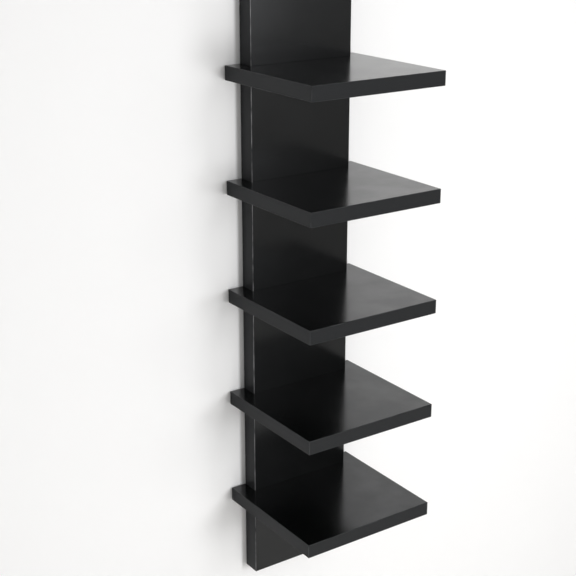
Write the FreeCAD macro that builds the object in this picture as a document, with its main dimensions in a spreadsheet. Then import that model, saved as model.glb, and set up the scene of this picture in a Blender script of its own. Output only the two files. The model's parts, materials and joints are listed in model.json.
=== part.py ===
import FreeCAD, Part
import math
import os
import re
import Sketcher

# A narrow column shelf that hangs on a wall. X runs along the wall, the front faces -Y,
# the wall is the plane y = 0, and Z is up. The origin is the middle of the four hanger holes.

SHELVES = 5
SIDES = (-1, 1)
ENDS = (-1, 1)

# Cells of honeycomb filling, across and along a shelf and a spine block
SHELF_CELLS = (4, 4)
BLOCK_CELLS = (3, 2)

# Corners of a cell from its middle, as shares of a cell's width and of a row's height
CELL_SHARES = [(0, -2 / 3), (1 / 2, -1 / 3), (1 / 2, 1 / 3), (0, 2 / 3), (-1 / 2, 1 / 3), (-1 / 2, -1 / 3)]

# Driving sizes in millimetres: the name of the cell, its value, and what it measures
SIZES = [
    ("shelf_width", 300, "shelf, along the wall"),
    ("shelf_depth", 280, "shelf, out from the wall"),
    ("shelf_thickness", 28, "shelf, top face to underside"),
    ("bay_height", 193, "clear height between two shelves, and height of a spine block there"),
    ("end_height", 168, "height of the first and the last spine block"),
    ("spine_width", 232, "spine, along the wall"),
    ("spine_thickness", 38, "spine, out from the wall"),
    ("skin", 3, "fibreboard skins of shelves and blocks, and the hanger plates let into them"),
    ("band", 1, "edge banding"),
    ("arris", 0.8, "bevel along the banding's trimmed edges"),
    ("shelf_rail", 26, "width of the shelf frame's front and side rails"),
    ("shelf_back_rail", 46, "width of the shelf frame's back rail, which the spine clamps"),
    ("block_stile", 24, "width of a block frame's upright stiles"),
    ("block_rail", 42, "height of a block frame's rail at a shelf"),
    ("hanger_rail", 76, "height of a block frame's rail behind the hangers"),
    ("paper", 1.2, "honeycomb filling, thickness of a doubled paper wall"),
    ("tongue_offset", 60, "from the middle of the spine to the middle of a loose tongue"),
    ("tongue_width", 64, "loose tongue, along the wall"),
    ("tongue_thickness", 12, "loose tongue, out from the wall"),
    ("tongue_reach", 30, "loose tongue, length in each block"),
    ("hanger_offset", 80, "from the middle of the spine to a hanger"),
    ("hanger_width", 28, "hanger plate, width"),
    ("hanger_straight", 34, "hanger plate, length between its two round ends"),
    ("entry_diameter", 10, "keyhole, round hole that passes a wall screw's head"),
    ("neck_width", 5, "keyhole, slot that takes a wall screw's neck"),
    ("slot_travel", 12, "keyhole, from the round hole up to the slot's end"),
    ("pocket_width", 14, "pocket behind a keyhole, width"),
    ("pocket_depth", 13, "pocket behind a keyhole, in from the back face"),
    ("screw_offset", 20, "from the middle of a hanger to a fixing screw"),
    ("screw_diameter", 3.6, "hanger fixing screw, shank"),
    ("screw_head", 7, "hanger fixing screw, head"),
    ("screw_length", 22, "hanger fixing screw, in from the back face"),
    ("clearance", 0.1, "play round tongues, hanger plates and screws"),
    ("overrun", 2, "how far a cutting tool runs past the face that it starts from"),
]

doc = FreeCAD.newDocument("narrow_shelving_unit")
sheet = doc.addObject("Spreadsheet::Sheet", "dims")
for row, (alias, value, note) in enumerate(SIZES, start=1):
    sheet.set(f"A{row}", alias)
    sheet.set(f"B{row}", str(value))
    sheet.setAlias(f"B{row}", alias)
    sheet.set(f"C{row}", note)
doc.recompute()

nodes = []


def cells(total):
    """A sum of sheet names, written as the sheet's own cells."""
    return re.sub(r"[a-z]\w*", lambda name: "dims." + name.group(), total)


def bind(feature, **sums):
    """Ties properties of a feature to sums of sheet names."""
    for name, total in sums.items():
        feature.setExpression(name, cells(total))
    return feature


def put(feature, corner):
    """Ties where a feature stands to sums of sheet names."""
    for axis, total in zip("xyz", corner):
        feature.setExpression("Placement.Base." + axis, cells(total))
    return feature


def keep(feature, label):
    """Marks a finished piece, whose label names its file."""
    feature.Label = label
    nodes.append(feature)
    return feature


# Shapes that the pieces are cut from and with


def board(name, size, corner):
    """A sawn board, from its low corner."""
    box = doc.addObject("Part::Box", name)
    bind(box, Length=size[0], Width=size[1], Height=size[2])
    return put(box, corner)


def rod(name, diameter, length, start, from_back=False):
    """A round bar or drill. It runs up from its start, or forward from the back face."""
    bar = doc.addObject("Part::Cylinder", name)
    bind(bar, Radius=f"({diameter}) / 2", Height=length)
    if from_back:
        bar.Placement.Rotation = FreeCAD.Rotation(FreeCAD.Vector(1, 0, 0), 90)
    return put(bar, start)


def joined(name, pieces):
    """Several shapes grown together."""
    whole = doc.addObject("Part::MultiFuse", name)
    whole.Shapes = pieces
    return whole


def cut(name, base, tools):
    """A shape with the tools' room taken out of it."""
    rest = doc.addObject("Part::Cut", name)
    rest.Base = base
    rest.Tool = joined(name + "_tools", tools)
    return rest


def group(name, pieces):
    """Separate solids that share one node."""
    together = doc.addObject("Part::Compound", name)
    together.Links = pieces
    return together


def round_slot(name, width, straight, depth, middle):
    """A plate or pocket with two round ends, upright, cut forward from y at its middle."""
    x, y, z = middle
    size = (width, depth, straight)
    corner = (f"{x} - ({width}) / 2", f"{y} - ({depth})", f"{z} - ({straight}) / 2")
    web = board(name + "_web", size, corner)
    low = rod(name + "_low", width, depth, (x, y, f"{z} - ({straight}) / 2"), from_back=True)
    high = rod(name + "_high", width, depth, (x, y, f"{z} + ({straight}) / 2"), from_back=True)
    return joined(name, [web, low, high])


# Sketched pieces


def sketch_on(body, role, name):
    """A new sketch on one of a body's own planes."""
    sketch = body.newObject("Sketcher::SketchObject", name)
    plane = next(item for item in body.Origin.OriginFeatures if item.Role == role)
    sketch.AttachmentSupport = [(plane, "")]
    sketch.MapMode = "FlatFace"
    return sketch


def rectangle(sketch, wide, deep, inset=None):
    """A rectangle from the sketch's corner, or set in from it on all sides by inset."""
    corners = [(0, 0), (1, 0), (1, 1), (0, 1)]
    lines = []
    for start, end in zip(corners, corners[1:] + corners[:1]):
        line = Part.LineSegment(FreeCAD.Vector(*start, 0), FreeCAD.Vector(*end, 0))
        lines.append(sketch.addGeometry(line, False))
    for line, following in zip(lines, lines[1:] + lines[:1]):
        sketch.addConstraint(Sketcher.Constraint("Coincident", line, 2, following, 1))
    for level, upright in (lines[:2], lines[2:]):
        sketch.addConstraint(Sketcher.Constraint("Horizontal", level))
        sketch.addConstraint(Sketcher.Constraint("Vertical", upright))
    bottom, right = lines[:2]
    reduced = "" if inset is None else f" - 2 * {inset}"
    across = sketch.addConstraint(Sketcher.Constraint("DistanceX", bottom, 1, bottom, 2, 1))
    along = sketch.addConstraint(Sketcher.Constraint("DistanceY", right, 1, right, 2, 1))
    sketch.setExpression(f"Constraints[{across}]", cells(wide + reduced))
    sketch.setExpression(f"Constraints[{along}]", cells(deep + reduced))
    if inset is None:
        sketch.addConstraint(Sketcher.Constraint("Coincident", bottom, 1, -1, 1))
        return
    for kind in ("DistanceX", "DistanceY"):
        offset = sketch.addConstraint(Sketcher.Constraint(kind, -1, 1, bottom, 1, 1))
        sketch.setExpression(f"Constraints[{offset}]", cells(inset))


def pad(body, sketch, height):
    """The sketch's area raised to a height."""
    raised = body.newObject("PartDesign::Pad", sketch.Name + "_pad")
    raised.Profile = sketch
    bind(raised, Length=height)
    doc.recompute()
    return raised


def bevel_edges(body, feature, wanted):
    """Bevels the edges whose middles are wanted, by the arris."""
    names = []
    for number, edge in enumerate(feature.Shape.Edges, start=1):
        middle = edge.valueAt((edge.FirstParameter + edge.LastParameter) / 2)
        if wanted(middle, feature.Shape.BoundBox):
            names.append(f"Edge{number}")
    bevel = body.newObject("PartDesign::Chamfer", body.Name + "_arris")
    bevel.Base = (feature, names)
    bind(bevel, Size="arris")
    return bevel


def near(first, second):
    """True where two places along an axis are the same."""
    return math.isclose(first, second, abs_tol=sheet.get("clearance") / 2)


# Levels of the stack, counted from its lower end

TOTAL_HEIGHT = f"(2 * end_height + {SHELVES} * shelf_thickness + {SHELVES - 1} * bay_height)"
FOOT = f"(slot_travel - {TOTAL_HEIGHT}) / 2"


def shelf_level(place):
    """Underside of a shelf, the lowest at place 0."""
    return f"{FOOT} + end_height + {place} * (shelf_thickness + bay_height)"


def block_level(place):
    """Lower end of a spine block, the lowest at place 0."""
    if place == 0:
        return FOOT
    return f"{shelf_level(place - 1)} + shelf_thickness"


def side_name(side):
    """The left of the unit, seen from the front, is at -X."""
    return "left" if side < 0 else "right"


def end_name(end):
    """Names the lower and the upper of a pair."""
    return "low" if end < 0 else "high"


def tongue(name, side, start, length, play="0"):
    """A loose tongue on one side of the middle, or with play round it, the mortise that it fits."""
    size = (f"tongue_width + 2 * {play}", f"tongue_thickness + 2 * {play}", length)
    x = f"{side} * tongue_offset - tongue_width / 2 - {play}"
    y = f"- (spine_thickness + tongue_thickness) / 2 - {play}"
    return board(f"{name}_{side_name(side)}", size, (x, y, start))


def mortises(name, start, length):
    """Room for the two tongues of a joint, from a lower end and along a length."""
    return [tongue(name + "_mortise", side, start, length, play="clearance") for side in SIDES]


# A shelf: a frame of four rails between two skins, with banding round its edge


def make_shelf(place):
    """One shelf. The shelves are numbered from the top down."""
    label = f"shelf_{SHELVES - place}"
    level = shelf_level(place)
    panel_width = "shelf_width - 2 * band"
    panel_depth = "shelf_depth - 2 * band"
    left = "band - shelf_width / 2"
    front = "band - shelf_depth"
    skins = {"bottom_skin": level, "top_skin": f"{level} + shelf_thickness - skin"}
    for name, skin_level in skins.items():
        full = f"{label}_{name}"
        blank = board(full + "_blank", (panel_width, panel_depth, "skin"), (left, front, skin_level))
        tools = mortises(full, f"{skin_level} - overrun", "skin + 2 * overrun")
        keep(cut(full, blank, tools), full)

    full = f"{label}_frame"
    rail_height = "shelf_thickness - 2 * skin"
    rail_level = f"{level} + skin"
    back_front = "- band - shelf_back_rail"
    side_depth = f"{panel_depth} - shelf_rail - shelf_back_rail"
    front_size = (panel_width, "shelf_rail", rail_height)
    side_size = ("shelf_rail", side_depth, rail_height)
    back_size = (panel_width, "shelf_back_rail", rail_height)
    side_start = f"{front} + shelf_rail"
    rails = [board(full + "_front", front_size, (left, front, rail_level))]
    rails.append(board(full + "_left", side_size, (left, side_start, rail_level)))
    right = "shelf_width / 2 - band - shelf_rail"
    rails.append(board(full + "_right", side_size, (right, side_start, rail_level)))
    back = board(full + "_back_blank", back_size, (left, back_front, rail_level))
    tools = mortises(full, f"{rail_level} - overrun", f"{rail_height} + 2 * overrun")
    rails.append(cut(full + "_back", back, tools))
    keep(group(full, rails), full)

    full = f"{label}_edge_band"
    body = doc.addObject("PartDesign::Body", full)
    sketch = sketch_on(body, "XY_Plane", full + "_outline")
    rectangle(sketch, "shelf_width", "shelf_depth")
    rectangle(sketch, "shelf_width", "shelf_depth", inset="band")
    ring = pad(body, sketch, "shelf_thickness")

    def outside(middle, box):
        on_side = near(middle.x, box.XMin) or near(middle.x, box.XMax)
        return on_side or near(middle.y, box.YMin) or near(middle.y, box.YMax)

    bevel_edges(body, ring, outside)
    keep(put(body, ("- shelf_width / 2", "- shelf_depth", level)), full)


# A spine block: an upright hollow board of the same make, without banding where shelves meet it


def block_span(place):
    """Height of a spine block, and whether its lower and upper ends are joints."""
    joint_below = place > 0
    joint_above = place < SHELVES
    height = "bay_height" if joint_below and joint_above else "end_height"
    return height, joint_below, joint_above


def hanger_middle(place):
    """Level of the middle of the hangers, which the first and the last block carry."""
    if place == 0:
        return f"{FOOT} + band + hanger_rail / 2"
    return f"{FOOT} + {TOTAL_HEIGHT} - band - hanger_rail / 2"


def block_label(place):
    """Name of a spine block: the shelves are numbered from the top down."""
    if place == 0:
        return "spine_bottom"
    if place == SHELVES:
        return "spine_top"
    return f"spine_{SHELVES - place}_{SHELVES - place + 1}"


def end_mortises(name, level, into_block):
    """Mortises in a block's end at the level. The block lies above it if into_block is 1, below if -1."""
    depth = "(tongue_reach + clearance)"
    start = f"{level} - overrun" if into_block > 0 else f"{level} - {depth}"
    return mortises(name, start, f"{depth} + overrun")


def hanger_tools(name, place):
    """Pockets and pilot holes behind the two hangers of an end block."""
    tools = []
    for side in SIDES:
        tag = f"{name}_{side_name(side)}"
        x = f"{side} * hanger_offset"
        middle = (x, "overrun", hanger_middle(place))
        depth = "pocket_depth + overrun"
        tools.append(round_slot(tag + "_pocket", "pocket_width", "slot_travel", depth, middle))
        for end in ENDS:
            at = (x, "overrun", f"{hanger_middle(place)} + {end} * screw_offset")
            pilot = f"{tag}_pilot_{end_name(end)}"
            drill = "screw_diameter + 2 * clearance"
            tools.append(rod(pilot, drill, "screw_length + overrun", at, from_back=True))
    return tools


def make_block(place):
    """One spine block, the lowest at place 0."""
    label = block_label(place)
    level = block_level(place)
    height, joint_below, joint_above = block_span(place)
    top = f"{level} + {height}"
    # The banded free end of the first and the last block takes the banding's thickness
    core_level = level if joint_below else f"{level} + band"
    core_height = height if joint_below and joint_above else f"{height} - band"
    core_top = f"{core_level} + {core_height}"
    panel_width = "spine_width - 2 * band"
    left = "band - spine_width / 2"

    full = f"{label}_front_skin"
    size = (panel_width, "skin", core_height)
    keep(board(full, size, (left, "- spine_thickness", core_level)), full)

    full = f"{label}_back_skin"
    back = board(full + "_blank", size, (left, "- skin", core_level))
    if not (joint_below and joint_above):
        windows = []
        for side in SIDES:
            tag = f"{full}_{side_name(side)}_window"
            middle = (f"{side} * hanger_offset", "overrun", hanger_middle(place))
            width = "hanger_width + 2 * clearance"
            windows.append(round_slot(tag, width, "hanger_straight", "skin + 2 * overrun", middle))
        back = cut(full, back, windows)
    keep(back, full)

    full = f"{label}_frame"
    rail_depth = "spine_thickness - 2 * skin"
    rail_front = "skin - spine_thickness"
    low_height = "block_rail" if joint_below else "hanger_rail"
    high_height = "block_rail" if joint_above else "hanger_rail"
    low_size = (panel_width, rail_depth, low_height)
    high_size = (panel_width, rail_depth, high_height)
    low = board(full + "_low_blank", low_size, (left, rail_front, core_level))
    high = board(full + "_high_blank", high_size, (left, rail_front, f"{core_top} - {high_height}"))
    low_name = full + "_low"
    high_name = full + "_high"
    low_tools = end_mortises(low_name, level, 1) if joint_below else hanger_tools(low_name, place)
    high_tools = end_mortises(high_name, top, -1) if joint_above else hanger_tools(high_name, place)
    rails = [cut(low_name, low, low_tools), cut(high_name, high, high_tools)]
    stile_size = ("block_stile", rail_depth, f"{core_height} - {low_height} - {high_height}")
    stile_level = f"{core_level} + {low_height}"
    rails.append(board(full + "_left", stile_size, (left, rail_front, stile_level)))
    right = "spine_width / 2 - band - block_stile"
    rails.append(board(full + "_right", stile_size, (right, rail_front, stile_level)))
    keep(group(full, rails), full)

    full = f"{label}_edge_bands"
    free_ends = (not joint_below, not joint_above)
    strips = [band_strip(full, side, level, height, free_ends) for side in SIDES]
    if not joint_below:
        strips.append(end_strip(full, level, False))
    if not joint_above:
        strips.append(end_strip(full, f"{top} - band", True))
    keep(group(full, strips), full)


def band_strip(name, side, level, height, free_ends):
    """Banding on one side of a block, bevelled along its outer edges and across its free end."""
    body = doc.addObject("PartDesign::Body", f"{name}_{side_name(side)}")
    sketch = sketch_on(body, "XY_Plane", body.Name + "_outline")
    rectangle(sketch, "band", "spine_thickness")
    strip = pad(body, sketch, height)

    def outer(middle, box):
        at_outer = near(middle.x, box.XMin if side < 0 else box.XMax)
        upright = near(middle.z, (box.ZMin + box.ZMax) / 2)
        at_low_end = free_ends[0] and near(middle.z, box.ZMin)
        at_high_end = free_ends[1] and near(middle.z, box.ZMax)
        return at_outer and (upright or at_low_end or at_high_end)

    bevel_edges(body, strip, outer)
    x = "- spine_width / 2" if side < 0 else "spine_width / 2 - band"
    return put(body, (x, "- spine_thickness", level))


def end_strip(name, level, facing_up):
    """Banding across a block's free end, between the side strips."""
    body = doc.addObject("PartDesign::Body", f"{name}_end")
    sketch = sketch_on(body, "XY_Plane", body.Name + "_outline")
    rectangle(sketch, "spine_width - 2 * band", "spine_thickness")
    strip = pad(body, sketch, "band")

    def outer(middle, box):
        at_face = near(middle.z, box.ZMax if facing_up else box.ZMin)
        return at_face and (near(middle.y, box.YMin) or near(middle.y, box.YMax))

    bevel_edges(body, strip, outer)
    return put(body, ("band - spine_width / 2", "- spine_thickness", level))


# Paper honeycomb, pulled open to fill the hollow inside each frame


def honeycomb(name, size, counts, axis):
    """A hexagonal paper lattice that fills a hollow, with its cells along an axis, from a low corner."""
    wide, tall, thick = size
    columns, rows = counts
    cell_width = wide / columns
    row_height = tall / rows
    hollow_share = 1 - sheet.get("paper") / cell_width
    prisms = []
    for row in range(-1, rows + 1):
        shifted = row % 2
        for column in range(columns + shifted):
            x = cell_width * (column + (1 - shifted) / 2)
            y = row_height * (row + 1 / 2)
            corners = []
            for across, along in CELL_SHARES + CELL_SHARES[:1]:
                corner_x = x + across * cell_width * hollow_share
                corner_y = y + along * row_height * hollow_share
                corners.append(FreeCAD.Vector(corner_x, corner_y, 0))
            face = Part.Face(Part.makePolygon(corners))
            prisms.append(face.extrude(FreeCAD.Vector(0, 0, thick)))
    filling = doc.addObject("Part::Feature", name)
    filling.Shape = Part.makeBox(wide, tall, thick).cut(prisms)
    if axis == "Y":
        turned = FreeCAD.Rotation(FreeCAD.Vector(1, 0, 0), 90)
        filling.Placement = FreeCAD.Placement(FreeCAD.Vector(0, 0, 0), turned)
    return filling


def make_fillings():
    """The paper fillings of all shelves, and of the spine blocks between them."""
    size = sheet.get
    wide = size("shelf_width") - 2 * size("band") - 2 * size("shelf_rail")
    deep = size("shelf_depth") - 2 * size("band") - size("shelf_rail") - size("shelf_back_rail")
    thick = size("shelf_thickness") - 2 * size("skin")
    fillings = []
    for place in range(SHELVES):
        filling = honeycomb(f"shelf_filling_{SHELVES - place}", (wide, deep, thick), SHELF_CELLS, "Z")
        corner = ("band + shelf_rail - shelf_width / 2", "band + shelf_rail - shelf_depth")
        fillings.append(put(filling, corner + (f"{shelf_level(place)} + skin",)))
    keep(group("shelf_fillings", fillings), "shelf_fillings")

    # The rails of the first and the last block leave a hollow too low for a filling
    wide = size("spine_width") - 2 * size("band") - 2 * size("block_stile")
    tall = size("bay_height") - 2 * size("block_rail")
    thick = size("spine_thickness") - 2 * size("skin")
    fillings = []
    for place in range(1, SHELVES):
        filling = honeycomb(f"spine_filling_{place}", (wide, tall, thick), BLOCK_CELLS, "Y")
        corner = ("band + block_stile - spine_width / 2", "- skin", f"{block_level(place)} + block_rail")
        fillings.append(put(filling, corner))
    keep(group("spine_fillings", fillings), "spine_fillings")


# Tongues and hangers


def make_tongues():
    """Loose tongues, glued through each shelf into the two blocks that clamp it."""
    tongues = []
    for place in range(SHELVES):
        start = f"{shelf_level(place)} - tongue_reach"
        for side in SIDES:
            tag = f"tongue_{SHELVES - place}"
            tongues.append(tongue(tag, side, start, "shelf_thickness + 2 * tongue_reach"))
    keep(group("joint_tongues", tongues), "joint_tongues")


def make_hanger(name, x, middle):
    """A keyhole plate let into the back skin. Its round hole is below and its slot runs up from it."""
    outline = round_slot(name + "_outline", "hanger_width", "hanger_straight", "skin", (x, "0", middle))
    through = "skin + 2 * overrun"
    entry_at = (x, "overrun", f"{middle} - slot_travel / 2")
    entry = rod(name + "_entry", "entry_diameter", through, entry_at, from_back=True)
    slot = round_slot(name + "_slot", "neck_width", "slot_travel", through, (x, "overrun", middle))
    tools = [entry, slot]
    for end in ENDS:
        level = f"{middle} + {end} * screw_offset"
        tools.append(countersink(f"{name}_{end_name(end)}_sink", x, level, "clearance"))
    return cut(name, outline, tools)


def countersink(name, x, level, play):
    """A cone as wide as a screw's head at the back face and as narrow as its shank at the skin's depth."""
    cone = doc.addObject("Part::Cone", name)
    bind(cone, Radius1=f"screw_head / 2 + {play}", Radius2=f"screw_diameter / 2 + {play}", Height="skin")
    cone.Placement.Rotation = FreeCAD.Rotation(FreeCAD.Vector(1, 0, 0), 90)
    return put(cone, (x, "0", level))


def make_hangers():
    """Four keyhole plates and their eight countersunk screws."""
    plates = []
    screws = []
    for place, where in ((0, "low"), (SHELVES, "high")):
        for side in SIDES:
            tag = f"{where}_{side_name(side)}"
            x = f"{side} * hanger_offset"
            middle = hanger_middle(place)
            plates.append(make_hanger("hanger_" + tag, x, middle))
            for end in ENDS:
                level = f"{middle} + {end} * screw_offset"
                name = f"screw_{tag}_{end_name(end)}"
                head = countersink(name + "_head", x, level, "0")
                at = (x, "- skin", level)
                length = "screw_length - skin"
                shank = rod(name + "_shank", "screw_diameter", length, at, from_back=True)
                screws.append(joined(name, [head, shank]))
    keep(group("hanger_plates", plates), "hanger_plates")
    keep(group("hanger_screws", screws), "hanger_screws")


for place in range(SHELVES):
    make_shelf(place)
for place in range(SHELVES + 1):
    make_block(place)
make_fillings()
make_tongues()
make_hangers()
doc.recompute()

# Nothing is written unless every feature was built and every piece is sound

for feature in doc.Objects:
    failed = {"Invalid", "Error"} & set(feature.State)
    if failed:
        raise RuntimeError(f"{feature.Label} failed: {sorted(failed)}")
for piece in nodes:
    if piece.Shape.isNull() or not piece.Shape.isValid():
        raise RuntimeError(f"{piece.Label} has no sound shape")

os.makedirs("parts", exist_ok=True)
for piece in nodes:
    piece.Shape.exportStep(f"parts/{piece.Label}.step")
solid_count = sum(len(piece.Shape.Solids) for piece in nodes)
print(f"{len(nodes)} nodes, {solid_count} solids")
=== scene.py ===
# %% [markdown]
# # A narrow column shelf in satin black
#
# The unit hangs on a wall: five square-edged shelves, clamped between the blocks of a flat spine.
# Its boards are already made and measured, so this lesson loads them, and gives them the camera,
# the room, the light and the finishes. The only pieces modelled here are the small screws at the back.

# %% Load the boards
import bpy
import json
import math
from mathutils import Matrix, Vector

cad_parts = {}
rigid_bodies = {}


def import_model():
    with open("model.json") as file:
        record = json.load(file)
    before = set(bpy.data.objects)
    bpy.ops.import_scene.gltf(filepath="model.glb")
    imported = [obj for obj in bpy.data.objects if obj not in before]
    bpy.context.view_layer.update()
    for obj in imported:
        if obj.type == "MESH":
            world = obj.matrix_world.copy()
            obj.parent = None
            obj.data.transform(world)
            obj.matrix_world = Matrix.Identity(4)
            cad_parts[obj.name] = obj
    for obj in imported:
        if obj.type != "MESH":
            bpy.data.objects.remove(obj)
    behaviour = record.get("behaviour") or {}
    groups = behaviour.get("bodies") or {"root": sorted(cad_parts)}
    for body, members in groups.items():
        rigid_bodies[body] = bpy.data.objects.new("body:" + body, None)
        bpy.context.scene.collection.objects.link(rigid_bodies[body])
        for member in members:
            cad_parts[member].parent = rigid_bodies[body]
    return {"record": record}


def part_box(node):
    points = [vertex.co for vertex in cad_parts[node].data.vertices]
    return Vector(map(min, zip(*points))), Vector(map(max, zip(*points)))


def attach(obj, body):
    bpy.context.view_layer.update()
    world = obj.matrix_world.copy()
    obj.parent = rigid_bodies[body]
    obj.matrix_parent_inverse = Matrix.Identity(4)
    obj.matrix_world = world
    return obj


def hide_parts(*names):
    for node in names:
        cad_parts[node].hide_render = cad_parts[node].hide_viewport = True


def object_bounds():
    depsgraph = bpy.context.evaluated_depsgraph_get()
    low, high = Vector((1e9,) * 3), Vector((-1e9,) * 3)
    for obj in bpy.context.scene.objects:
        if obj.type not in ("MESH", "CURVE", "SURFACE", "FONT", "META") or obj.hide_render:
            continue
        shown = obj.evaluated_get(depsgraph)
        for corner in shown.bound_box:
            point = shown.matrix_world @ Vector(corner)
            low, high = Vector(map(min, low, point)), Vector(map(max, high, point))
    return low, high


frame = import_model()
board_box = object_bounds()
print("boards from", [round(n, 4) for n in board_box[0]], "to", [round(n, 4) for n in board_box[1]])

MM = 0.001

# %% [markdown]
# ## Where the photographer stood
#
# The unit was photographed from its left, and from above the first shelf, so that each lower shelf shows
# more of its top. A camera is a place, a direction and a lens. The place and the direction below come
# from lining up the edges of all five shelves with the photograph. A long lens keeps the uprights
# nearly parallel, as they are there.

# %% Camera
CAMERA_PLACE = (-1.3225, -1.9219, 0.8017)
TURN_TO_RIGHT = math.radians(34.4)
TILT_DOWN = math.radians(19.11)
FRAME_SIDE_PX = 576
FOCAL_PX = 1200
SENSOR_MM = 36

camera_data = bpy.data.cameras.new("photographer")
camera_data.sensor_width = SENSOR_MM
camera_data.lens = FOCAL_PX / FRAME_SIDE_PX * SENSOR_MM
camera = bpy.data.objects.new("photographer", camera_data)
camera.location = CAMERA_PLACE
camera.rotation_euler = (math.pi / 2 - TILT_DOWN, 0, -TURN_TO_RIGHT)
bpy.context.collection.objects.link(camera)
bpy.context.scene.camera = camera
print("lens", round(camera_data.lens, 1), "mm")

# %% [markdown]
# ## Helpers for shader nodes
#
# A material is a small network: each node's outputs are joined to the inputs of the next. These helpers
# add one node and join it, so that each finish below can be read from its texture to its surface.


# %% Node helpers
def add_node(tree, kind, **settings):
    """One node, with settings for its properties and values for its named inputs."""
    node = tree.nodes.new(kind)
    for name, value in settings.items():
        if hasattr(node, name):
            setattr(node, name, value)
        else:
            node.inputs[name.replace("_", " ")].default_value = value
    return node


def calculate(tree, operation, *sources):
    """The result of a math node whose inputs are numbers or outputs of other nodes."""
    node = add_node(tree, "ShaderNodeMath", operation=operation)
    for number, source in enumerate(sources):
        if isinstance(source, (int, float)):
            node.inputs[number].default_value = source
        else:
            tree.links.new(source, node.inputs[number])
    return node.outputs["Value"]


def stretch_range(tree, source, low, high, bottom=0.0, top=1.0):
    """The source, with low to high drawn out to bottom to top and cut off there."""
    node = add_node(tree, "ShaderNodeMapRange", From_Min=low, From_Max=high, To_Min=bottom, To_Max=top)
    tree.links.new(source, node.inputs["Value"])
    return node.outputs["Result"]


def split_vector(tree, source):
    """The X, Y and Z parts of a vector."""
    node = add_node(tree, "ShaderNodeSeparateXYZ")
    tree.links.new(source, node.inputs["Vector"])
    return node.outputs["X"], node.outputs["Y"], node.outputs["Z"]


def upward_part(tree):
    """How much a face looks up, from 1 for a top to -1 for an underside."""
    normal = add_node(tree, "ShaderNodeNewGeometry").outputs["Normal"]
    return split_vector(tree, normal)[2]


def new_group(name, inputs, outputs):
    """A node group with its sockets: each is a name, a kind and, for inputs, a value."""
    group = bpy.data.node_groups.new(name, "ShaderNodeTree")
    for socket_name, kind, value in inputs:
        socket = group.interface.new_socket(socket_name, in_out="INPUT", socket_type=kind)
        socket.default_value = value
    for socket_name, kind in outputs:
        group.interface.new_socket(socket_name, in_out="OUTPUT", socket_type=kind)
    return group, group.nodes.new("NodeGroupInput"), group.nodes.new("NodeGroupOutput")


def sized_noise(group, size, detail=2.0, roughness=0.5):
    """A noise on object coordinates, with clouds as wide as an input of its group says."""
    place = add_node(group, "ShaderNodeTexCoord")
    noise = add_node(group, "ShaderNodeTexNoise", Detail=detail, Roughness=roughness)
    group.links.new(place.outputs["Object"], noise.inputs["Vector"])
    group.links.new(calculate(group, "DIVIDE", 1.0, size), noise.inputs["Scale"])
    return noise.outputs["Fac"]


def mix_colors(group, share, first, second):
    """A share of the second colour over the first."""
    node = add_node(group, "ShaderNodeMix", data_type="RGBA")
    group.links.new(share, node.inputs["Factor"])
    group.links.new(first, node.inputs["A"])
    group.links.new(second, node.inputs["B"])
    return node.outputs["Result"]


def use_group(tree, group, **values):
    """A group's node, with values for its named inputs."""
    node = tree.nodes.new("ShaderNodeGroup")
    node.node_tree = group
    for name, value in values.items():
        node.inputs[name.replace("_", " ")].default_value = value
    return node


def new_material(name):
    """A material with its surface shader."""
    material = bpy.data.materials.new(name)
    material.use_nodes = True
    return material, material.node_tree, material.node_tree.nodes["Principled BSDF"]


# %% [markdown]
# ## The room
#
# The wall is matt and almost white, and the unit hangs flat against it. A real wall would hide the unit
# from behind, so this one shows to nothing that comes from its back: the Backfacing output of
# Geometry mixes in a transparent shader there. Rays that leave the unit's own back, only
# millimetres from the wall, pass through it too, so that the hangers get some light.

# %% Wall and floor
WALL_GAP = 3 * MM
FLOOR_BELOW = 0.48
FLOOR_LEVEL = board_box[0].z - FLOOR_BELOW
WALL_SIDE = 12.0
FLOOR_SIDE = 24.0
BACK_RAY = 4.5 * MM


def stage_plane(name, size, place, turn):
    """A flat piece of the room."""
    bpy.ops.object.select_all(action="DESELECT")
    bpy.ops.mesh.primitive_plane_add(size=size, location=place, rotation=turn)
    plane = bpy.context.object
    plane.name = name
    return plane


wall = stage_plane("wall", WALL_SIDE, (0, WALL_GAP, FLOOR_LEVEL + WALL_SIDE / 2), (math.pi / 2, 0, 0))
floor = stage_plane("floor", FLOOR_SIDE, (0, 0, FLOOR_LEVEL), (0, 0, 0))


def one_sided_paint(name, color, rough, sheen):
    """Matt paint that is clear from behind, and to rays that started just in front of it."""
    material, tree, paint = new_material(name)
    paint.inputs["Base Color"].default_value = (*color, 1)
    paint.inputs["Roughness"].default_value = rough
    paint.inputs["Specular IOR Level"].default_value = sheen
    clear = add_node(tree, "ShaderNodeBsdfTransparent")
    from_behind = add_node(tree, "ShaderNodeNewGeometry").outputs["Backfacing"]
    ray_length = add_node(tree, "ShaderNodeLightPath").outputs["Ray Length"]
    unseen = calculate(tree, "MAXIMUM", from_behind, calculate(tree, "LESS_THAN", ray_length, BACK_RAY))
    mix = add_node(tree, "ShaderNodeMixShader")
    tree.links.new(unseen, mix.inputs["Fac"])
    tree.links.new(paint.outputs["BSDF"], mix.inputs[1])
    tree.links.new(clear.outputs["BSDF"], mix.inputs[2])
    tree.links.new(mix.outputs["Shader"], tree.nodes["Material Output"].inputs["Surface"])
    return material


wall_paint = one_sided_paint("wall paint", color=(0.93, 0.93, 0.935), rough=0.9, sheen=0.2)
floor_paint = one_sided_paint("pale floor", color=(0.8, 0.785, 0.755), rough=0.7, sheen=0.5)
wall.data.materials.append(wall_paint)
floor.data.materials.append(floor_paint)
print("floor at", round(FLOOR_LEVEL, 3))

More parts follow.
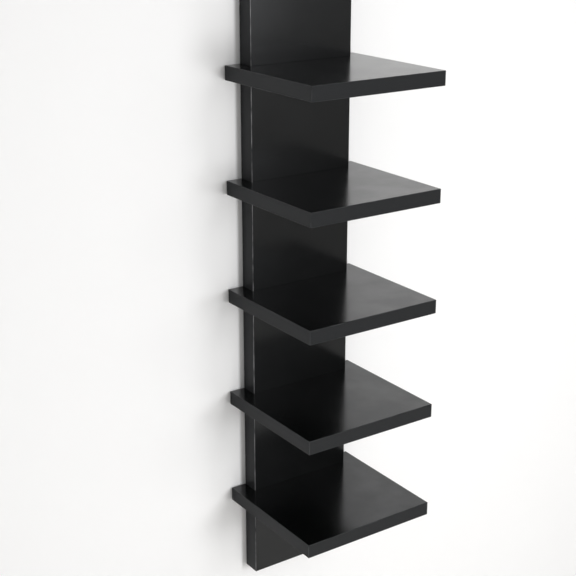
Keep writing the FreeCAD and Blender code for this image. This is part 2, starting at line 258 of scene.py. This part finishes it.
# %% [markdown]
# ## Light
#
# Black satin shows little of its own colour: what the eye reads on it is the room and its lamps. The
# photograph was taken in an evenly white room, so about half of the light comes from all around. Its wall
# has soft shadows on the left of each shelf and none on the right, so the rest comes from a little to
# the right of the front. A tall, narrow lamp there draws the shadows out upwards and downwards, a small
# one in its middle gives them a core, and a faint one further right widens them. Another stands behind
# the wall, for a look at the back. The picture keeps the tones as they fall, so the view transform is
# Standard. What the camera sees beyond the room is a lighter grey than the light that the room gives.

# %% Light from all around
ROOM_GLOW = 0.52
ROOM_SEEN = 0.8
ROOM_COLOR = (1.0, 0.995, 0.985, 1)
world = bpy.data.worlds.new("white room")
world.use_nodes = True
sky = world.node_tree
air = sky.nodes["Background"]
air.inputs["Color"].default_value = ROOM_COLOR
air.inputs["Strength"].default_value = ROOM_GLOW
backdrop = add_node(sky, "ShaderNodeBackground", Color=ROOM_COLOR, Strength=ROOM_SEEN)
seen_or_felt = add_node(sky, "ShaderNodeMixShader")
sky.links.new(add_node(sky, "ShaderNodeLightPath").outputs["Is Camera Ray"], seen_or_felt.inputs["Fac"])
sky.links.new(air.outputs["Background"], seen_or_felt.inputs[1])
sky.links.new(backdrop.outputs["Background"], seen_or_felt.inputs[2])
sky.links.new(seen_or_felt.outputs["Shader"], sky.nodes["World Output"].inputs["Surface"])
bpy.context.scene.world = world
bpy.context.scene.view_settings.view_transform = "Standard"
print("the room glows", ROOM_GLOW, "and is seen as", ROOM_SEEN)

# %% Soft lamps
LAMP_TARGET = Vector((0, 0, 0.1))
LAMP_DISTANCE = 2.5


def soft_lamp(name, turn, height, width, length, watts):
    """A lamp that faces the unit, from so many degrees to the right of its front and above it."""
    lamp = bpy.data.lights.new(name, "AREA")
    lamp.shape = "RECTANGLE"
    lamp.size = width
    lamp.size_y = length
    lamp.energy = watts
    turn, height = math.radians(turn), math.radians(height)
    level = math.cos(height)
    toward = Vector((math.sin(turn) * level, -math.cos(turn) * level, math.sin(height)))
    holder = bpy.data.objects.new(name, lamp)
    holder.location = LAMP_TARGET + LAMP_DISTANCE * toward
    holder.rotation_euler = (-toward).to_track_quat("-Z", "Y").to_euler()
    holder.visible_camera = False
    bpy.context.collection.objects.link(holder)
    return holder


lamps = [
    soft_lamp("tall lamp in front", turn=9, height=4, width=0.5, length=2.3, watts=30),
    soft_lamp("small lamp in front", turn=10, height=0, width=0.35, length=0.4, watts=8.5),
    soft_lamp("faint lamp on the right", turn=27, height=12, width=0.25, length=0.8, watts=1.6),
    soft_lamp("lamp behind the wall", turn=150, height=15, width=1.2, length=1.6, watts=13),
]
for lamp in lamps:
    print(lamp.name, "stands at", [round(n, 2) for n in lamp.location])

# %% [markdown]
# ## Black foil
#
# The boards are covered with a satin black foil, and their edges with a thicker band. Seen close, both
# have a faint orange peel, and over a hand's width they are never quite even: some patches are a little
# more matt. The first group makes this unevenness from two noises, one as wide as a patch and one as
# fine as the peel. Faces that look up are wiped, and there the patches also leave smears of polish. Both
# surfaces share these effects, so they are a node group, built once.


# %% Uneven satin
def make_satin_group():
    """Soft uneven sheen and a fine orange peel, on object coordinates."""
    inputs = [
        ("Patch Size", "NodeSocketFloat", 70 * MM),
        ("Peel Size", "NodeSocketFloat", 1 * MM),
        ("Mid Roughness", "NodeSocketFloat", 0.3),
        ("Roughness Range", "NodeSocketFloat", 0.1),
        ("Smear Weight", "NodeSocketFloat", 0.2),
    ]
    outputs = [("Roughness", "NodeSocketFloat"), ("Peel", "NodeSocketFloat"), ("Smears", "NodeSocketFloat")]
    group, start, end = new_group("satin unevenness", inputs, outputs)
    given = start.outputs
    patches = sized_noise(group, given["Patch Size"], detail=3.0, roughness=0.55)
    peel = sized_noise(group, given["Peel Size"])
    group.links.new(peel, end.inputs["Peel"])

    noise_middle = 0.5
    centred = calculate(group, "SUBTRACT", patches, noise_middle)
    rough = calculate(group, "MULTIPLY_ADD", centred, given["Roughness Range"], given["Mid Roughness"])
    group.links.new(rough, end.inputs["Roughness"])

    wiped = stretch_range(group, upward_part(group), low=0.6, high=1.0)
    polished = stretch_range(group, patches, low=0.4, high=0.65)
    both = calculate(group, "MULTIPLY", wiped, polished)
    smears = calculate(group, "MULTIPLY", both, given["Smear Weight"])
    group.links.new(smears, end.inputs["Smears"])
    return group


satin_group = make_satin_group()
print(satin_group.name, "with", len(satin_group.nodes), "nodes")

# %% [markdown]
# Fine dust lies on black more visibly than on anything else. It could be modelled grain by grain, but at
# this size a sparse noise that lightens the colour does the same, more of it where a face looks up.


# %% Dust
def make_dust_group():
    """A colour with fine pale dust on it, thickest on faces that look up."""
    inputs = [
        ("Color", "NodeSocketColor", (0.01, 0.01, 0.01, 1)),
        ("Dust Color", "NodeSocketColor", (0.3, 0.29, 0.27, 1)),
        ("Amount", "NodeSocketFloat", 0.004),
        ("Speck Size", "NodeSocketFloat", 0.9 * MM),
    ]
    group, start, end = new_group("fine dust", inputs, [("Color", "NodeSocketColor")])
    given = start.outputs
    specks = stretch_range(group, sized_noise(group, given["Speck Size"]), low=0.6, high=0.8)
    lying = stretch_range(group, upward_part(group), low=-0.2, high=1.0, bottom=0.25)
    both = calculate(group, "MULTIPLY", specks, lying)
    amount = calculate(group, "MULTIPLY", both, given["Amount"])
    dusty = mix_colors(group, amount, given["Color"], given["Dust Color"])
    group.links.new(dusty, end.inputs["Color"])
    return group


dust_group = make_dust_group()
print(dust_group.name, "with", len(dust_group.nodes), "nodes")

# %% [markdown]
# The arrises are the narrow edges between two faces. They catch the light, and a painted highlight turns
# the black grey there. On this unit every broad face lies square to an axis, and only the arrises lie
# askew, so the largest part of the face's own normal tells them apart. A noise leaves gaps in each painted
# highlight.


# %% Painted highlights on the arrises
def make_arris_highlight_group():
    """A colour with a painted highlight: lighter on the narrow arrises, whose faces lie square to no axis.
    """
    inputs = [
        ("Color", "NodeSocketColor", (0.01, 0.01, 0.01, 1)),
        ("Worn Color", "NodeSocketColor", (0.06, 0.06, 0.06, 1)),
        ("Gap Size", "NodeSocketFloat", 30 * MM),
    ]
    group, start, end = new_group("painted arris highlights", inputs, [("Color", "NodeSocketColor")])
    given = start.outputs
    unsigned = add_node(group, "ShaderNodeVectorMath", operation="ABSOLUTE")
    face_normal = add_node(group, "ShaderNodeNewGeometry").outputs["True Normal"]
    group.links.new(face_normal, unsigned.inputs["Vector"])
    x, y, z = split_vector(group, unsigned.outputs["Vector"])
    largest = calculate(group, "MAXIMUM", calculate(group, "MAXIMUM", x, y), z)
    askew = stretch_range(group, largest, low=0.99, high=0.75)
    highlight_patches = stretch_range(group, sized_noise(group, given["Gap Size"]), low=0.3, high=0.7)
    both = calculate(group, "MULTIPLY", askew, highlight_patches)
    # Painted highlight: the askew arrises are mixed towards the lighter colour, in patches.
    highlighted = mix_colors(group, both, given["Color"], given["Worn Color"])
    group.links.new(highlighted, end.inputs["Color"])
    return group


arris_highlight_group = make_arris_highlight_group()
print(arris_highlight_group.name, "with", len(arris_highlight_group.nodes), "nodes")

# %% [markdown]
# The foil is almost black and mirrors the white wall at a flat angle, as the tops of the shelves do in the
# photograph. The band on the edges is a dark grey with less sheen under a thin gloss. Both turn round
# their arrises softly, which the Bevel node does in the shading alone. The spine's long arrises get a
# brighter painted highlight than those of the shelves, so its banding is a second copy with a lighter one.

# %% Satin black
COAT_ROUGHNESS = 0.13


def satin_black(name, color, sheen, tint, patch, peel, rough, spread, peel_height, arris, gloss, arris_highlight):
    """A satin black surface with its own unevenness, under an even gloss or, for None, smears of polish."""
    material, tree, surface = new_material(name)
    satin = use_group(
        tree, satin_group, Patch_Size=patch, Peel_Size=peel, Mid_Roughness=rough, Roughness_Range=spread
    )
    tree.links.new(satin.outputs["Roughness"], surface.inputs["Roughness"])
    surface.inputs["Specular IOR Level"].default_value = sheen
    surface.inputs["Specular Tint"].default_value = (*tint, 1)

    soft_arris = add_node(tree, "ShaderNodeBevel", Radius=arris)
    bump = add_node(tree, "ShaderNodeBump", Distance=peel_height, Strength=1.0)
    tree.links.new(satin.outputs["Peel"], bump.inputs["Height"])
    tree.links.new(soft_arris.outputs["Normal"], bump.inputs["Normal"])
    tree.links.new(bump.outputs["Normal"], surface.inputs["Normal"])

    dust = use_group(tree, dust_group, Color=(*color, 1))
    # The arrises get a painted highlight in the given lighter colour.
    highlighted = use_group(tree, arris_highlight_group, Worn_Color=(*arris_highlight, 1))
    tree.links.new(dust.outputs["Color"], highlighted.inputs["Color"])
    tree.links.new(highlighted.outputs["Color"], surface.inputs["Base Color"])

    if gloss is None:
        tree.links.new(satin.outputs["Smears"], surface.inputs["Coat Weight"])
    else:
        surface.inputs["Coat Weight"].default_value = gloss
    surface.inputs["Coat Roughness"].default_value = COAT_ROUGHNESS
    tree.links.new(soft_arris.outputs["Normal"], surface.inputs["Coat Normal"])
    return material


FOIL = {
    "color": (0.0015, 0.0018, 0.0017), "sheen": 0.49, "tint": (0.94, 0.96, 1), "gloss": None,
    "patch": 70 * MM, "peel": 1.1 * MM, "peel_height": 0.002 * MM,
    "rough": 0.19, "spread": 0.12, "arris": 1 * MM,
}
BANDING = {
    "color": (0.02, 0.0208, 0.022), "sheen": 0.04, "tint": (0.85, 0.92, 1), "gloss": 0.16,
    "patch": 50 * MM, "peel": 0.8 * MM, "peel_height": 0.004 * MM,
    "rough": 0.4, "spread": 0.1, "arris": 1 * MM,
}
# The lighter arris colours are painted highlights, brightest on the spine's banding.
black_foil = satin_black("black foil", arris_highlight=(0.03, 0.03, 0.03), **FOIL)
black_banding = satin_black("black edge banding", arris_highlight=(0.07, 0.072, 0.075), **BANDING)
highlighted_spine_banding = satin_black("edge banding with brighter painted highlight", arris_highlight=(0.36, 0.36, 0.37), **BANDING)
print("satin materials", black_foil.name, ",", black_banding.name, "and", highlighted_spine_banding.name)

# %% [markdown]
# ## Steel, and what the boards are made of
#
# The hangers are pressed from zinc plated steel, which is dull and slightly clouded. Inside the skins are
# rails of particleboard, a honeycomb of brown paper and tongues of birch plywood. At most a little of
# them shows in the pockets behind the keyholes, but each still gets the look of its own stuff.

# %% Hidden and metal finishes
DARK_BELOW = 0.35
LIGHT_ABOVE = 0.65


def mottled(name, dark, light, size, detail, rough, stretch=(1, 1, 1), metallic=0.0, bump_depth=0.0):
    """A surface that wanders between two colours, in patches of a size that may be stretched."""
    material, tree, surface = new_material(name)
    place = add_node(tree, "ShaderNodeTexCoord")
    shape = add_node(tree, "ShaderNodeMapping", Scale=stretch)
    noise = add_node(tree, "ShaderNodeTexNoise", Scale=1 / size, Detail=detail)
    colors = add_node(tree, "ShaderNodeValToRGB")
    first, last = colors.color_ramp.elements
    first.position, last.position = DARK_BELOW, LIGHT_ABOVE
    first.color, last.color = (*dark, 1), (*light, 1)
    bump = add_node(tree, "ShaderNodeBump", Distance=bump_depth)
    tree.links.new(place.outputs["Object"], shape.inputs["Vector"])
    tree.links.new(shape.outputs["Vector"], noise.inputs["Vector"])
    tree.links.new(noise.outputs["Fac"], colors.inputs["Fac"])
    tree.links.new(noise.outputs["Fac"], bump.inputs["Height"])
    tree.links.new(colors.outputs["Color"], surface.inputs["Base Color"])
    tree.links.new(bump.outputs["Normal"], surface.inputs["Normal"])
    surface.inputs["Metallic"].default_value = metallic
    surface.inputs["Roughness"].default_value = rough
    return material


plated_steel = mottled(
    "zinc plated steel", dark=(0.26, 0.26, 0.25), light=(0.42, 0.42, 0.41),
    size=4 * MM, detail=4, rough=0.36, metallic=1.0, bump_depth=0.01 * MM,
)
raw_board = mottled(
    "raw particleboard", dark=(0.3, 0.19, 0.1), light=(0.62, 0.47, 0.3),
    size=2.5 * MM, detail=6, rough=0.8, stretch=(1, 1, 3), bump_depth=0.2 * MM,
)
paper = mottled(
    "honeycomb paper", dark=(0.34, 0.24, 0.14), light=(0.48, 0.36, 0.23),
    size=1.5 * MM, detail=5, rough=0.9, bump_depth=0.05 * MM,
)
plywood = mottled(
    "birch plywood", dark=(0.55, 0.38, 0.22), light=(0.74, 0.57, 0.38),
    size=3 * MM, detail=3, rough=0.6, stretch=(1, 4, 0.1), bump_depth=0.03 * MM,
)
print("steel, particleboard, paper and plywood")

# %% [markdown]
# ## Dressing the boards
#
# Every board keeps its shape. Its finish follows the slot that its maker gave it, and only the banding
# of the spine gets the copy with the brighter painted highlight.

# %% Give each board its finish
FINISHES = {
    "black_foil": black_foil,
    "black_edge_band": black_banding,
    "particleboard": raw_board,
    "honeycomb_paper": paper,
    "plated_steel": plated_steel,
    "birch_plywood": plywood,
}
for part in frame["record"]["subparts"]:
    board = bpy.data.objects[part["node"]]
    finish = FINISHES[part["material_slot"]]
    # The spine's banding takes the copy with the brighter painted highlight on its arrises.
    if finish == black_banding and board.name.startswith("spine"):
        finish = highlighted_spine_banding
    for place in board.material_slots:
        place.material = finish

# %% [markdown]
# ## Screws with a cross recess
#
# Each hanger is held by two small countersunk screws. The boards came with plain ones, which mark their
# places, and a screw modelled here takes the place of each. One screw starts as a disc, the head's thin
# rim. Its inner face is extruded and scaled three times: to the cone, the shank and the point.
# Two crossed wedges then cut the recess out of the head.

# %% Screw sizes and places
screw_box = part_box("hanger_screws")
HEAD_RADIUS = 3.5 * MM
RIM = 0.3 * MM
CONE_DEPTH = 2.7 * MM
SHANK_RADIUS = 1.8 * MM
SHANK_LENGTH = 16 * MM
POINT_LENGTH = 3 * MM
POINT_TAPER = 0.1
RECESS_SPAN = 4.2 * MM
RECESS_WIDTH = 0.9 * MM
RECESS_DEPTH = 1.8 * MM
RECESS_TAPER = 0.35
CUTTER_PROUD = 0.2 * MM
SCREW_PITCH = 40 * MM
HEAD_SIDES = 32
column = screw_box[1].x - HEAD_RADIUS
lowest = screw_box[0].z + HEAD_RADIUS
highest = screw_box[1].z - HEAD_RADIUS
screw_levels = {
    "low_1": lowest,
    "low_2": lowest + SCREW_PITCH,
    "high_1": highest - SCREW_PITCH,
    "high_2": highest,
}
print("screws at x", round(column, 4), "and levels", [round(n, 4) for n in screw_levels.values()])

# %% Model one screw
LOOKS_DOWN = -0.9


def pick_lower_face(piece):
    """Goes into edit mode with nothing selected but the flat face at the lower end of a piece."""
    bpy.ops.object.mode_set(mode="EDIT")
    bpy.ops.mesh.select_mode(type="FACE")
    bpy.ops.mesh.select_all(action="DESELECT")
    bpy.ops.object.mode_set(mode="OBJECT")
    ends = [face for face in piece.data.polygons if face.normal.z < LOOKS_DOWN]
    min(ends, key=lambda face: face.center.z).select = True
    bpy.ops.object.mode_set(mode="EDIT")


def grow(depth, share):
    """Extrudes the picked face down by a depth and scales it by a share."""
    bpy.ops.mesh.extrude_region_move(TRANSFORM_OT_translate={"value": (0, 0, -depth)})
    bpy.ops.transform.resize(value=(share, share, 1))


bpy.ops.object.select_all(action="DESELECT")
bpy.ops.mesh.primitive_cylinder_add(
    vertices=HEAD_SIDES, radius=HEAD_RADIUS, depth=RIM, location=(0, 0, -RIM / 2)
)
screw = bpy.context.object
bpy.ops.object.transform_apply(location=True, rotation=True, scale=True)
pick_lower_face(screw)
grow(CONE_DEPTH, SHANK_RADIUS / HEAD_RADIUS)
grow(SHANK_LENGTH, 1)
grow(POINT_LENGTH, POINT_TAPER)
bpy.ops.object.mode_set(mode="OBJECT")

# %% Cut the cross recess
cutters = []
for turn in (0, math.pi / 2):
    bpy.ops.object.select_all(action="DESELECT")
    bpy.ops.mesh.primitive_cube_add(size=1, location=(0, 0, (CUTTER_PROUD - RECESS_DEPTH) / 2))
    wedge = bpy.context.object
    wedge.scale = (RECESS_SPAN, RECESS_WIDTH, CUTTER_PROUD + RECESS_DEPTH)
    wedge.rotation_euler = (0, 0, turn)
    bpy.ops.object.transform_apply(location=True, rotation=True, scale=True)
    pick_lower_face(wedge)
    bpy.ops.transform.resize(value=(RECESS_TAPER, RECESS_TAPER, 1))
    bpy.ops.object.mode_set(mode="OBJECT")
    cutters.append(wedge)
for wedge in cutters:
    bpy.ops.object.select_all(action="DESELECT")
    bpy.context.view_layer.objects.active = screw
    screw.select_set(True)
    cut = screw.modifiers.new("recess", "BOOLEAN")
    cut.object = wedge
    cut.operation = "DIFFERENCE"
    cut.solver = "EXACT"
    bpy.ops.object.modifier_apply(modifier=cut.name)
    bpy.data.objects.remove(wedge)
print("one screw of", len(screw.data.polygons), "faces")

# %% Set the screws in their places
screw.rotation_euler = (-math.pi / 2, 0, 0)
bpy.ops.object.transform_apply(location=False, rotation=True, scale=False)
screw.data.materials.clear()
screw.data.materials.append(plated_steel)
for side_name, side in (("left", -1), ("right", 1)):
    for level_name, level in screw_levels.items():
        copy = screw.copy()
        copy.data = screw.data.copy()
        copy.name = f"screw_{side_name}_{level_name}"
        bpy.context.collection.objects.link(copy)
        for vertex in copy.data.vertices:
            vertex.co += Vector((side * column, 0, level))
        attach(copy, "root")
        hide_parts("hanger_screws")
bpy.data.objects.remove(screw)
